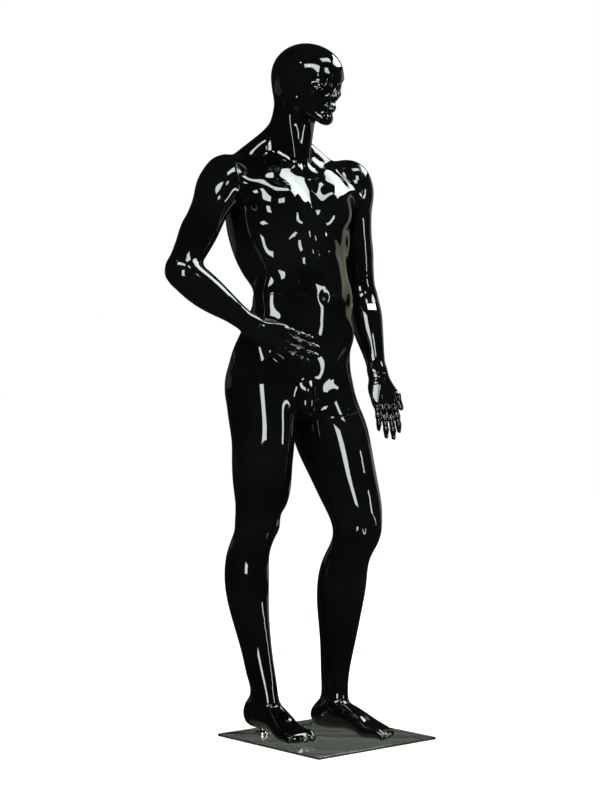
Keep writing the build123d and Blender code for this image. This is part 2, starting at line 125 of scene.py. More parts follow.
def blob(centre, radii, axes=None):
    """Ellipsoid: axes are its own x, y, z directions."""
    centre, radii = np.asarray(centre, float), np.asarray(radii, float)
    axes = np.eye(3) if axes is None else np.asarray(axes, float)

    def distance(p):
        q = (p - centre) @ axes.T / radii
        k0 = np.sqrt((q * q).sum(1))
        q = q / radii
        k1 = np.sqrt((q * q).sum(1)) + 1e-9
        return k0 * (k0 - 1) / k1

    return distance


def bone(a, b, r_a, r_b):
    """Rounded rod whose radius changes from r_a to r_b."""
    a, b = np.asarray(a, float), np.asarray(b, float)
    ab = b - a
    length2 = float(ab @ ab)

    def distance(p):
        t = np.clip(((p - a) @ ab) / length2, 0, 1)
        q = p - a - t[:, None] * ab
        return np.sqrt((q * q).sum(1)) - (r_a + (r_b - r_a) * t)

    return distance


def chain(points, radii):
    """Rounded rod through several points."""
    links = [bone(a, b, r, s) for a, b, r, s in zip(points, points[1:], radii, radii[1:])]

    def distance(p):
        d = links[0](p)
        for link in links[1:]:
            d = smooth_min(d, link(p), 6)
        return d

    return distance


def muscle(a, b, wide, deep, out, spare=0.0):
    """Ellipsoid from a to b, wide across and deep along out."""
    a, b = np.asarray(a, float), np.asarray(b, float)
    along = unit(b - a)
    out = unit(np.asarray(out, float) - along * (along @ np.asarray(out, float)))
    half = np.linalg.norm(b - a) / 2 + spare
    return blob((a + b) / 2, (half, wide, deep), (along, np.cross(out, along), out))


def column(stations, fullness=2.2, origin=(0, 0, 0), axes=None, cap=20.0):
    """Stack of level sections: (height, x, y, yaw, half width, front, back). Front is towards -y."""
    table = np.array(stations, float)
    order = np.argsort(table[:, 0])
    heights = table[order, 0]
    at = curve(heights, table[order, 1:])
    origin = np.asarray(origin, float)
    axes = np.eye(3) if axes is None else np.asarray(axes, float)

    def distance(p):
        q = (p - origin) @ axes.T
        x, y, yaw, *reach = at(q[:, 2]).T
        wide, front, back = np.maximum(reach, THINNEST)
        c, s = np.cos(np.radians(yaw)), np.sin(np.radians(yaw))
        dx, dy = q[:, 0] - x, q[:, 1] - y
        u, v = dx * c + dy * s, dy * c - dx * s
        k = ((np.abs(u) / wide) ** fullness
             + (np.abs(v) / np.where(v < 0, front, back)) ** fullness) ** (1 / fullness)
        radial = np.hypot(u, v)
        side = radial - radial / np.maximum(k, 1e-6)
        ends = np.maximum(heights[0] - q[:, 2], q[:, 2] - heights[-1])
        return smooth_max(side, ends, cap)

    return distance


class Field:
    """A shape that grows by smooth union and loses by smooth subtraction."""

    def __init__(self):
        self.steps = []

    def add(self, shape, blend):
        self.steps.append((1, shape, blend))
        return self

    def cut(self, shape, blend):
        self.steps.append((-1, shape, blend))
        return self

    def __call__(self, p):
        d = np.full(len(p), 1e3)
        for sign, shape, blend in self.steps:
            if sign > 0:
                d = smooth_min(d, shape(p), blend)
            else:
                d = smooth_max(d, -shape(p), blend)
        return d


# ---------------------------------------------------------------- trunk

TRUNK_STATIONS = [
    (1512, -51, 98, -5, 56, 26, 46),
    (1488, -51, 98, -5, 96, 45, 64),
    (1460, -51, 97, -5, 128, 64, 78),
    (1425, -52, 94, -5, 152, 84, 92),
    (1385, -53, 90, -4, 164, 100, 102),
    (1340, -54, 86, -3, 167, 108, 108),
    (1300, -55, 80, -3, 162, 107, 110),
    (1250, -54, 66, -2, 150, 101, 106),
    (1198, -52, 50, -2, 139, 99, 99),
    (1137, -50, 42, -3, 132, 95, 92),
    (1095, -53, 43, -5, 139, 94, 94),
    (1045, -57, 54, -8, 152, 102, 98),
    (976, -62, 72, -11, 166, 106, 108),
    (915, -65, 76, -13, 174, 106, 112),
    (868, -68, 72, -13, 156, 92, 104),
    (828, -72, 68, -13, 104, 62, 76),
]
trunk_at = curve([s[0] for s in TRUNK_STATIONS[::-1]], np.array([s[1:] for s in TRUNK_STATIONS[::-1]]))


def on_trunk(left, front, z):
    """A point measured from the middle of the trunk's section at height z."""
    x, y, yaw = trunk_at(z)[:3]
    to_left, to_front = facing(yaw)
    return vec(x, y, z) + to_left * left + to_front * front


def trunk_out(left, front, up=0.0):
    """A direction on the trunk."""
    to_left, to_front = facing(-5)
    return to_left * left + to_front * front + vec(0, 0, up)


def girdle(body, s):
    """What runs from the trunk to a shoulder: the breast muscle's tail, the upper chest, the collar bone
    and the trapezius."""
    t = on_trunk
    body.add(bone(t(s * 70, 76, 1388), t(s * 172, 34, 1412), 36, 34), 26)
    body.add(blob(t(s * 78, 22, 1428), (92, 61, 52)), 26)
    body.add(chain([t(s * 14, 65, 1459), t(s * 70, 65, 1464), t(s * 112, 44, 1474),
                    t(s * 158, 11, 1474)], (7, 6.5, 6.5, 6)), 16)
    body.add(bone(t(s * 34, -22, 1556), t(s * 158, -12, 1459), 26, 33), 34)


def torso_muscles(body):
    t = on_trunk
    for s in (-1, 1):
        # latissimus, from the armpit to the waist, and the serratus in front of it
        body.add(muscle(t(s * 150, -34, 1405), t(s * 116, -30, 1165), 58, 40, trunk_out(s, -0.5)), 30)
        body.add(muscle(t(s * 158, 16, 1372), t(s * 128, 40, 1235), 34, 22, trunk_out(s, 0.5)), 24)
        # shoulder blade and the muscle over it
        body.add(blob(t(s * 86, -84, 1388), (56, 26, 66)), 30)
        body.add(muscle(t(s * 18, 90, 1338), t(s * 146, 62, 1372), 56, 38,
                        trunk_out(s * 0.25, 1, 0.1), 6), 17)
        girdle(body, s)
        # oblique over the hip
        body.add(muscle(t(s * 112, 34, 1190), t(s * 122, 22, 1070), 40, 30, trunk_out(s, 0.6)), 26)
        # six pack
        for z, front in ((1258, 88), (1210, 85), (1162, 82)):
            body.add(blob(t(s * 31, front, z), (32, 14, 34)), 32)
        # long back muscles beside the spine
        body.add(muscle(t(s * 34, -84, 1330), t(s * 32, -78, 1060), 26, 24, trunk_out(0, -1), 16), 16)
    body.add(muscle(t(0, 78, 1150), t(0, 85, 985), 48, 25, trunk_out(0, 1)), 28)
    body.cut(chain([t(0, 87, 1440), t(0, 101, 1395), t(0, 110, 1345), t(0, 112, 1295)], (5, 6, 6, 5)), 18)
    body.cut(bone(t(0, 110, 1290), t(0, 107, 1190), 4, 3), 18)
    body.cut(bone(t(0, -118, 1440), t(0, -98, 1080), 6, 6), 22)
    body.cut(blob(t(0, 100, 1131), (6, 14, 8)), 6)
    body.cut(blob(t(0, 74, 1476), (11, 16, 13)), 12)


def hip_muscles(body, sides):
    t = on_trunk
    for s in sides:
        body.add(muscle(t(s * 70, -62, 990), t(s * 78, -52, 850), 70, 52, trunk_out(s * 0.3, -1), 12), 22)
        # front corner of the hip bone, and the fold that runs from it to the groin
        body.add(blob(t(s * 118, 42, 1040), (26, 34, 42)), 26)
        body.cut(bone(t(s * 128, 66, 1010), t(s * 44, 112, 905), 3, 4), 18)
        body.cut(blob(t(s * 156, -18, 930), (8, 30, 36)), 34)


def groin(body):
    t = on_trunk
    body.cut(bone(t(0, -122, 965), t(0, -104, 830), 5, 9), 14)
    body.add(blob(t(0, 92, 884), (30, 32, 42)), 20)
    body.add(blob(t(0, 98, 860), (27, 27, 30)), 16)


# ---------------------------------------------------------------- legs

RIGHT_LEG = [
    (1000, -132, 80, -7, 44, 62, 66),
    (930, -152, 88, -5, 76, 90, 98),
    (880, -150, 86, -5, 82, 94, 96),
    (820, -148, 82, -5, 79, 92, 92),
    (750, -146, 78, -5, 73, 84, 84),
    (690, -145, 80, -5, 67, 78, 80),
    (622, -144, 86, -5, 60, 72, 72),
    (566, -143, 104, -5, 55, 60, 62),
    (535, -142, 113, -5, 52, 58, 58),
    (485, -143, 139, -4, 51, 58, 58),
    (420, -143, 150, -4, 54, 61, 60),
    (368, -141, 150, -3, 52, 59, 58),
    (310, -138, 142, -3, 46, 53, 53),
    (220, -131, 124, -2, 37, 43, 43),
    (155, -127, 110, 0, 33, 41, 41),
    (112, -124, 102, 0, 31, 42, 43),
    (70, -121, 106, 0, 30, 44, 48),
    (38, -121, 110, 0, 24, 36, 40),
]
LEFT_LEG = [
    (1000, 6, 66, 2, 46, 66, 68),
    (930, 20, 62, 6, 78, 94, 96),
    (880, 25, 54, 8, 82, 98, 98),
    (820, 32, 34, 12, 83, 103, 103),
    (746, 38, 13, 16, 78, 102, 103),
    (681, 46, -9, 18, 72, 90, 91),
    (617, 56, -32, 18, 66, 79, 80),
    (566, 64, -45, 18, 61, 68, 70),
    (513, 67, -41, 18, 58, 62, 62),
    (466, 66, -10, 17, 57, 60, 62),
    (388, 64, 12, 15, 60, 63, 64),
    (336, 63, 18, 14, 55, 60, 60),
    (229, 60, 25, 12, 41, 46, 46),
    (185, 59, 30, 11, 36, 41, 41),
    (130, 58, 33, 10, 31, 37, 37),
    (90, 57, 32, 10, 30, 38, 40),
    (50, 55, 36, 10, 30, 42, 46),
    (22, 55, 40, 10, 24, 34, 38),
]


def leg(body, stations, outer, knee_z, ankle_z):
    """Sections with the muscles on them. outer is -1 for the right leg and 1 for the left."""
    order = stations[::-1]
    centre = curve([s[0] for s in order], np.array([s[1:] for s in order]))

    def at(side, front, z):
        x, y, yaw = centre(z)[:3]
        to_left, to_front = facing(yaw)
        return vec(x, y, z) + to_left * (side * outer) + to_front * front

    def out(side, front):
        to_left, to_front = facing(centre(knee_z)[2])
        return to_left * (side * outer) + to_front * front

    k, a = knee_z, ankle_z
    body.add(column(stations), 20)
    # thigh: outer, middle and inner muscles
    body.add(muscle(at(34, 34, k + 300), at(32, 34, k + 60), 34, 36, out(0.8, 0.6), 10), 22)
    body.add(muscle(at(0, 56, k + 330), at(4, 44, k + 70), 34, 32, out(0, 1), 10), 20)
    body.add(muscle(at(-34, 30, k + 170), at(-30, 34, k + 22), 28, 30, out(-0.7, 0.7), 8), 18)
    body.add(muscle(at(20, -42, k + 300), at(26, -40, k + 30), 28, 34, out(0.2, -1), 8), 20)
    body.add(muscle(at(-24, -40, k + 300), at(-26, -38, k + 30), 26, 34, out(-0.2, -1), 8), 20)
    # knee cap, its tendon, and the hollow on each side
    body.add(blob(at(0, 45, k + 4), (27, 16, 29), (*facing(centre(k)[2]), (0, 0, 1))), 20)
    body.add(bone(at(0, 45, k - 20), at(2, 43, k - 62), 11, 10), 22)
    for s in (-1, 1):
        body.cut(blob(at(s * 36, 52, k + 2), (8, 10, 22)), 24)
        body.add(blob(at(s * 34, 4, k - 12), (22, 34, 26)), 20)
    # shin edge and calf
    body.add(chain([at(-4, 42, k - 90), at(-8, 42, k - 200), at(-6, 30, a + 60)], (12, 11, 10)), 18)
    body.add(muscle(at(-22, -30, k - 30), at(-18, -24, k - 235), 30, 34, out(-0.4, -1), 6), 20)
    body.add(muscle(at(22, -30, k - 30), at(18, -22, k - 205), 28, 32, out(0.4, -1), 6), 20)
    body.add(muscle(at(34, 12, k - 60), at(22, 12, k - 260), 20, 22, out(1, 0.3), 0), 18)
    # heel tendon, with the hollows beside it, and ankle bones
    body.add(bone(at(0, -26, a + 130), at(0, -34, a + 10), 11, 9), 16)
    for s, lift in ((-1, 6), (1, -6)):
        body.add(blob(at(s * 30, 2, a + lift), (10, 15, 15)), 10)
        body.cut(blob(at(s * 26, -24, a + 30), (10, 9, 34)), 14)


# ---------------------------------------------------------------- feet

# share of the length, half width, top, lift of the sole, drift to the little toe's side
FOOT = [
    (-0.02, 16, 0.42, 1.5, 0), (0.05, 29, 0.80, 0.5, 0), (0.14, 33, 0.95, 0.12, 0),
    (0.26, 33, 1.00, 0.12, 0), (0.42, 34, 0.94, 0.30, 2), (0.58, 39, 0.72, 0.22, 3),
    (0.72, 44, 0.50, 0.0, 3), (0.84, 43, 0.36, 0.0, 1), (0.93, 38, 0.27, 0.05, -2),
]
FOOT_ARCH = 22
BALL_SHARE = 0.72
# across from the big toe, length share, radius
TOES = [(-30, 1.0, 12.5), (-9, 0.985, 9), (7.5, 0.965, 8.5), (22.5, 0.94, 8), (35.5, 0.905, 7.5)]


def foot(body, heel, toe, height, outer):
    heel, toe = np.asarray(heel, float), np.asarray(toe, float)
    along = unit((toe - heel) * (1, 1, 0))
    across = np.cross(along, vec(0, 0, 1)) * -outer
    length = np.linalg.norm((toe - heel)[:2])

    def base(share):
        return heel[2] + (toe[2] - heel[2]) * min(1.0, share / BALL_SHARE)

    def at(share, side, z):
        p = heel + along * length * share + across * side
        return vec(p[0], p[1], z)

    sections = []
    for share, wide, top, lift, drift in FOOT:
        low = base(share) + lift * FOOT_ARCH
        high = base(share) + top * height
        half = (high - low) / 2
        sections.append((share * length, drift, (low + high) / 2, 0, wide, half, half))
    axes = (across, vec(0, 0, 1), along)
    body.add(column(sections, 2.6, vec(heel[0], heel[1], 0), axes, 14), 16)
    # heel cushion, ball of the foot, instep ridge
    body.add(blob(at(0.12, 0, base(0.1) + 24), (29, 32, 24), (across, along, (0, 0, 1))), 14)
    body.add(blob(at(0.73, -22, base(0.73) + 15), (20, 26, 15), (across, along, (0, 0, 1))), 12)
    body.add(bone(at(0.30, -8, base(0.3) + height * 0.82), at(0.62, -14, base(0.62) + height * 0.50),
                  16, 12), 18)
    for side, reach, r in TOES:
        root, joint = at(0.76, side * 0.92, base(0.76) + 20), at(reach * 0.90, side, toe[2] + r + 6)
        tip = at(reach - r * 0.9 / length, side * 0.97, toe[2] + r * 0.88)
        body.add(chain([root, joint, tip], (r, r * 0.94, r * 0.88)), 5)
        nail = at(reach - 0.012, side, toe[2] + r * 2.05)
        body.cut(blob(nail, (r * 0.62, r * 0.5, 1.6), (across, along, (0, 0, 1))), 1.5)


# ---------------------------------------------------------------- neck and head

HEAD_AT = vec(-43, 28, 1700)
HEAD_YAW, HEAD_PITCH = 19, 10


def nodding(yaw, pitch):
    """Left, front and up of something that is turned, and tilted forward, by degrees."""
    left, front = facing(yaw)
    a = math.radians(pitch)
    return np.array([left, front * math.cos(a) - vec(0, 0, math.sin(a)),
                     vec(0, 0, math.cos(a)) + front * math.sin(a)])


HEAD_AXES = nodding(HEAD_YAW, HEAD_PITCH)


def on_head(left, front, up):
    return HEAD_AT + vec(left, front, up) @ HEAD_AXES


def head_blob(left, front, up, wide, deep, tall):
    return blob(on_head(left, front, up), (wide, deep, tall), HEAD_AXES)


NECK = [
    (1450, -51, 97, -7, 70, 56, 60),
    (1490, -51, 95, -7, 64, 54, 60),
    (1525, -51, 89, -5, 59, 50, 60),
    (1560, -51, 79, 0, 57, 47, 64),
    (1600, -50, 66, 8, 56, 46, 64),
    (1640, -49, 52, 14, 56, 44, 66),
    (1670, -47, 46, 17, 54, 42, 77),
    (1700, -45, 40, 19, 50, 40, 78),
]


def head(body):
    t, h = on_trunk, on_head
    body.add(column(NECK), 30)
    body.add(head_blob(0, -5, 6, 74, 94.5, 83), 26)
    body.add(head_blob(0, 22, 18, 64, 75, 60), 24)
    body.add(head_blob(0, 34, -42, 55, 54, 64), 24)
    for s in (-1, 1):
        body.add(bone(h(s * 12, 70, -96), h(s * 47, 8, -66), 16, 17), 18)
        body.add(head_blob(s * 42, 60, -28, 21, 22, 14), 18)
        body.add(chain([h(s * 6, 90, 5), h(s * 28, 85, 9), h(s * 50, 64, 5)], (6, 6, 5)), 20)
        body.cut(head_blob(s * 31, 97, -12, 18, 14, 12), 20)
        body.add(head_blob(s * 31, 68, -11, 16, 17, 13), 14)
        body.add(head_blob(s * 9, 87, -44, 6, 8, 6), 12)
        # the strap muscle from behind the jaw to the collar bone
        body.add(chain([h(s * 56, -16, -58), (h(s * 56, -16, -58) + t(s * 15, 66, 1466)) / 2,
                        t(s * 15, 66, 1466)], (5, 5, 5)), 30)
    body.add(head_blob(0, 76, -97, 20, 15, 16), 14)
    body.add(chain([h(0, 90, 2), h(0, 92, -16), h(0, 97, -36), h(0, 94, -43)], (6, 6, 7, 7)), 12)
    body.add(bone(h(0, 0, -95), t(0, 40, 1500), 22, 20), 24)
    mouth(body)


def mouth(body):
    h = on_head
    body.add(head_blob(0, 82, -68, 22, 12, 15), 10)
    for s in (-1, 1):
        body.add(bone(h(s * 3, 92, -65), h(s * 19, 86, -68.5), 4.2, 2), 8)
        body.add(bone(h(0, 91, -74), h(s * 15, 86, -71.5), 5, 2.4), 8)
    for s in (-1, 1):
        body.cut(bone(h(0, 98, -69.4), h(s * 21, 88, -70), 1.0, 1.0), 2)
    body.cut(head_blob(0, 94, -84, 16, 6, 5), 14)


# ---------------------------------------------------------------- arms

RIGHT_ARM = dict(shoulder=vec(-244, 118, 1429), elbow=vec(-414, 72, 1188), wrist=vec(-234, 3, 1050),
                 tip=vec(-99, -92, 990))
LEFT_ARM = dict(shoulder=vec(140, 68, 1442), elbow=vec(203, 90, 1150), wrist=vec(177, -7, 934),
                tip=vec(171, -68, 771))
TRUNK_LEFT = facing(-7.5)[0]

# share of the bone, offset outward, half width, front, back
UPPER_ARM = [
    (-0.08, 0, 46, 46, 46), (0.06, 2, 55, 54, 53), (0.25, 2, 50, 53, 51), (0.5, 0, 44, 47, 46),
    (0.75, 0, 41, 42, 42), (1.0, 0, 38, 38, 38),
]
FOREARM = [
    (0.0, 0, 38, 38, 38), (0.18, 0, 43, 42, 44), (0.38, 0, 41, 39, 40), (0.62, 0, 33, 31, 32),
    (0.85, 0, 27, 23, 23), (1.08, 0, 27, 20, 20),
]


def bone_column(a, b, side, stations):
    """Sections along a bone. side is the direction of their width."""
    along = unit(b - a)
    across = unit(side - along * (side @ along))
    length = np.linalg.norm(b - a)
    sections = [(share * length, offset, 0, 0, *reach) for share, offset, *reach in stations]
    return column(sections, 2.1, a, (across, np.cross(along, across), along), 14)


def shoulder(body, arm, outer):
    """What the trunk and the arm share around their seam."""
    out = TRUNK_LEFT * outer
    front = facing(-7.5)[1]
    s = arm["shoulder"]
    body.add(bone_column(s, arm["elbow"], out, UPPER_ARM), 22)
    # shoulder cap in three heads
    down = unit(arm["elbow"] - s)
    for away, forward, wide in ((8, 0, 50), (-2, 26, 40), (-4, -28, 42)):
        top = s + out * away + front * forward - down * 8
        body.add(muscle(top - down * 48, top + down * 92, wide, 48, out + front * forward / 40), 26)
    body.add(blob(s + vec(0, 0, 20) - out * 12, (56, 50, 47)), 24)


def arm_muscles(body, arm, outer, wrist_side, bend_out):
    """bend_out points out of the elbow."""
    s, e, w = arm["shoulder"], arm["elbow"], arm["wrist"]
    upper, lower = unit(e - s), unit(w - e)
    out = TRUNK_LEFT * outer
    body.add(bone_column(e, w, wrist_side, FOREARM), 24)
    body.add(blob(e, (38, 38, 38)), 20)
    # biceps on the inside of the bend, triceps on the outside
    middle = (s + e) / 2
    body.add(muscle(s + upper * 70 - bend_out * 12, e - upper * 26 - bend_out * 12,
                    30, 36, -bend_out, 4), 18)
    body.add(muscle(s + upper * 60 + bend_out * 16, e - upper * 50 + bend_out * 14,
                    33, 34, bend_out, 8), 18)
    body.add(blob(middle + upper * 30 + out * 14, (26, 30, 44)), 24)
    # point of the elbow
    body.add(blob(e + bend_out * 24, (15, 15, 15)), 18)
    # outer forearm muscle that starts above the elbow, and the bone along its edge
    body.add(muscle(e - upper * 34 + out * 14 - bend_out * 8, e + lower * 120 + out * 12,
                    22, 28, out), 20)
    under = unit(bend_out - lower * (bend_out @ lower))
    body.add(bone(e + bend_out * 20, w + bend_out * 6, 12, 12), 22)
    body.add(muscle(e + under * 18 + lower * 4, e + lower * 150 + under * 12, 26, 29, under, 8), 24)
    across = unit(wrist_side - lower * (wrist_side @ lower))
    for k in (-1, 1):
        body.add(blob(w - lower * 12 + across * k * 20, (9, 10, 10)), 18)


# ---------------------------------------------------------------- hands

# share of the length, half width, half thickness
PALM = [
    (-0.14, 24, 17), (0.0, 25, 17.5), (0.12, 28, 15.5), (0.28, 35, 13.5), (0.40, 37, 11.5), (0.49, 35, 9),
]
# across at the root and at the tip, share of the length, root and tip radius
FINGERS = [
    (-27, -31, 0.90, 8.4, 6), (-9.5, -11, 1.0, 8.7, 6.2), (8.5, 9, 0.97, 8.4, 6),
    (25, 26, 0.84, 7.5, 5.4),
]
KNUCKLE = 0.47                             # share of the length where the fingers start
THUMB = dict(root=(0.10, -20), middle=(0.32, -44), tip=(0.54, -50), radii=(13, 10, 7.5))


class Hand:
    """Places on a hand. Across is positive on the little finger's side."""

    def __init__(self, arm, palm, thumb_sign):
        self.start, self.reach = arm["wrist"], arm["tip"] - arm["wrist"]
        self.length = np.linalg.norm(self.reach)
        self.along = self.reach / self.length
        self.palm = unit(palm - self.along * (palm @ self.along))
        self.across = np.cross(self.palm, self.along) * thumb_sign
        self.axes = (self.across, self.palm * thumb_sign, self.along)

    def at(self, share, side, down=0.0):
        return self.start + self.reach * share + self.across * side + self.palm * down


def palm(body, hand):
    sections = [(share * hand.length, 0, 0, 0, wide, thick, thick) for share, wide, thick in PALM]
    body.add(column(sections, 2.5, hand.start, hand.axes, 10), 16)


def fingers(body, hand, droop):
    """droop is how far each finger joint bends."""
    at, down_dir = hand.at, hand.palm
    for root, end, share, r_root, r_tip in FINGERS:
        points = [at(KNUCKLE - 0.12, root * 0.86, -2), at(KNUCKLE, root, -1)]
        for part, down in ((0.42, droop * 0.3), (0.74, droop * 0.75), (1.0, droop * 1.35)):
            side = root + (end - root) * part
            back = r_tip / hand.length if part == 1.0 else 0
            points.append(at(KNUCKLE + (share - KNUCKLE) * part - back, side, down))
        body.add(chain(points, (r_root * 0.8, r_root, r_root * 0.93, (r_root + r_tip) / 2, r_tip)), 3.5)
        for knuckle, share_of_root in zip(points[1:4], (0.92, 0.85, 0.74)):
            r = r_root * share_of_root
            body.add(blob(knuckle - down_dir * 1.2, (r, r * 1.2, r)), 6)
        # tendon on the back of the hand, and the nail
        body.add(bone(at(0.14, root * 0.35, -11.5), at(KNUCKLE - 0.05, root * 0.95, -7.5), 3, 4), 12)
        last = unit(points[-1] - points[-2])
        nail_up = unit(-down_dir - last * (-down_dir @ last))
        nail = points[-1] + nail_up * (r_tip * 0.86) + last
        nail_axes = (np.cross(last, nail_up), last, nail_up)
        body.add(blob(nail, (r_tip * 0.66, r_tip * 0.95, 1.6), nail_axes), 1.2)


def thumb(body, hand):
    at, axes = hand.at, (hand.across, hand.along, hand.palm)
    r = THUMB["radii"]
    root, middle, end = (at(*THUMB[key], d) for key, d in (("root", 4), ("middle", 9), ("tip", 12)))
    body.add(chain([root, middle, end - hand.along * r[2] * 0.6], r), 10)
    body.add(blob(at(0.20, -20, 9), (16, 28, 11), axes), 10)
    body.add(blob(at(0.22, 22, 8), (13, 30, 9), axes), 10)
    body.add(blob(middle - hand.palm * 2, (10.5, 11, 10)), 6)


# ---------------------------------------------------------------- fields of the shells

SIDES = {
    "right_arm": dict(arm=RIGHT_ARM, outer=-1, wrist_side=vec(0, 0, 1), elbow=unit((-0.95, 0.15, -0.25)),
                      hand=Hand(RIGHT_ARM, vec(0.72, 0.69, 0), -1), droop=9),
    "left_arm": dict(arm=LEFT_ARM, outer=1, wrist_side=vec(1, 0, 0), elbow=unit((0.25, 0.95, 0.05)),
                     hand=Hand(LEFT_ARM, vec(0.30, 0.95, 0), 1), droop=12),
}
STUB = 18                                  # how far a shell's field runs past its seam
WAIST_SEAM = (vec(-50, 42, WAIST_Z), vec(0, 0, 1))
THIGH_SEAM = (THIGH_SEAM_AT, THIGH_SEAM_NORMAL)


def shoulder_seam(side):
    middle = TRUNK_MIDDLE + (0, 0, side["arm"]["shoulder"][2])
    out = TRUNK_LEFT * side["outer"]
    return middle + out * SHOULDER_SEAM, out


def wrist_seam(side):
    arm = side["arm"]
    return arm["wrist"], unit(arm["wrist"] - arm["elbow"])


def beyond(point, normal, spare=STUB):
    """Everything past a seam, starting spare further out."""
    start = point + normal * spare
    return lambda p: -((p - start) @ normal)


def lower_field():
    body = Field()
    leg(body, RIGHT_LEG, -1, 560, 88)
    body.add(column(TRUNK_STATIONS, cap=34), 24)
    torso_muscles(body)
    hip_muscles(body, (-1, 1))
    stub = Field()
    leg(stub, LEFT_LEG, 1, 540, 70)
    stub.cut(beyond(THIGH_SEAM[0], -THIGH_SEAM[1], 10), 1)
    body.add(stub, 16)
    groin(body)
    foot(body, (-121, 168, 27), (-120, -60, 7), 86, -1)
    # hole for the support spigot's grub screw
    body.cut(bone((-113, 150, 62), (-113, 200, 62), 3.4, 3.4), 0.8)
    return body.cut(beyond(*WAIST_SEAM), 1)


def left_leg_field():
    body = Field()
    leg(body, LEFT_LEG, 1, 540, 70)
    hip_muscles(body, (1,))
    foot(body, (42, 96, 14), (84, -161, 7), 78, 1)
    return body.cut(beyond(*THIGH_SEAM), 1)


def torso_field():
    body = Field()
    body.add(column(TRUNK_STATIONS, cap=34), 20)
    torso_muscles(body)
    head(body)
    for side in SIDES.values():
        cap = Field()
        shoulder(cap, side["arm"], side["outer"])
        cap.cut(beyond(vec(0, 0, 1362), vec(0, 0, -1), 0), 40)
        body.add(cap, 22)
    for side in SIDES.values():
        body.cut(beyond(*shoulder_seam(side)), 1)
    return body.cut(beyond(WAIST_SEAM[0], -WAIST_SEAM[1]), 1)


def arm_field(side):
    body = Field()
    girdle(body, side["outer"])
    shoulder(body, side["arm"], side["outer"])
    point, normal = shoulder_seam(side)
    body.cut(beyond(point, -normal), 1)
    arm_muscles(body, side["arm"], side["outer"], side["wrist_side"], side["elbow"])
    palm(body, side["hand"])
    return body.cut(beyond(*wrist_seam(side)), 1)


def hand_field(side):
    body = Field()
    arm_muscles(body, side["arm"], side["outer"], side["wrist_side"], side["elbow"])
    palm(body, side["hand"])
    fingers(body, side["hand"], side["droop"])
    thumb(body, side["hand"])
    point, normal = wrist_seam(side)
    return body.cut(beyond(point, -normal), 1)


# ---------------------------------------------------------------- meshing

def sample(field, low, high, cell):
    """Field values on a grid: coarse everywhere, and exact near the surface."""
    step = 4
    counts = [int(math.ceil((high[i] - low[i]) / cell / step)) for i in range(3)]
    middles = [low[i] + (np.arange(counts[i]) * step + (step - 1) / 2) * cell for i in range(3)]
    coarse = field(np.stack(np.meshgrid(*middles, indexing="ij"), -1).reshape(-1, 3)).reshape(counts)
    values = coarse.repeat(step, 0).repeat(step, 1).repeat(step, 2)
    near = np.argwhere(np.abs(values) < cell * step * 2.2)
    for part in np.array_split(near, max(1, len(near) // 300000)):
        values[tuple(part.T)] = field(np.asarray(low) + part * cell)
    return values.astype(np.float32)


def project(field, p, rounds=3, step=0.2):
    """Move points onto the surface."""
    for _ in range(rounds):
        d = field(p)
        g = np.stack([(field(p + step * e) - d) / step for e in np.eye(3)], 1)
        move = g * (d / np.maximum((g * g).sum(1), 0.2))[:, None]
        p = p - np.clip(move, -1.5, 1.5)
    return p


def surface(field, low, high, cell):
    grid = openvdb.FloatGrid(50.0)
    grid.copyFromArray(sample(field, low, high, cell))
    points, quads = grid.convertToQuads()
    points = np.asarray(points, float) * cell + np.asarray(low, float)
    mesh = bpy.data.meshes.new("shell")
    mesh.from_pydata(project(field, points).tolist(), [], np.asarray(quads)[:, ::-1].tolist())
    bm = bmesh.new()
    bm.from_mesh(mesh)
    bpy.data.meshes.remove(mesh)
    return bm


def places(verts):
    return np.array([v.co for v in verts]).reshape(-1, 3)


def refine(bm, field, middle, radius):
    """Halve the cells around a point, and move the points there onto the surface."""
    close = {v for v, d in zip(bm.verts, np.linalg.norm(places(bm.verts) - middle, axis=1)) if d < radius}
    edges = [e for e in bm.edges if e.verts[0] in close and e.verts[1] in close]
    made = bmesh.ops.subdivide_edges(bm, edges=edges, cuts=1, use_grid_fill=True)["geom_inner"]
    made = [v for v in made if isinstance(v, bmesh.types.BMVert)]
    for v, place in zip(made, project(field, places(made))):
        v.co = place


def keep_largest(bm):
    """Drop the bits that don't hang together with the largest one."""
    left, groups = set(bm.verts), []
    while left:
        group, front = set(), [left.pop()]
        while front:
            v = front.pop()
            group.add(v)
            for e in v.link_edges:
                w = e.other_vert(v)
                if w in left:
                    left.discard(w)
                    front.append(w)
        groups.append(group)
    largest = max(groups, key=len)
    bmesh.ops.delete(bm, geom=[v for v in bm.verts if v not in largest], context="VERTS")


def rim_loop(bm):
    """The open edge's vertices in order."""
    ahead = {}
    for e in bm.edges:
        if e.is_boundary:
            a, b = e.link_loops[0].vert, e.link_loops[0].link_loop_next.vert
            ahead[a] = b
    loop = [next(iter(ahead))]
    while ahead[loop[-1]] is not loop[0]:
        loop.append(ahead[loop[-1]])
    assert len(loop) == len(ahead), "the seam has more than one rim"
    return loop


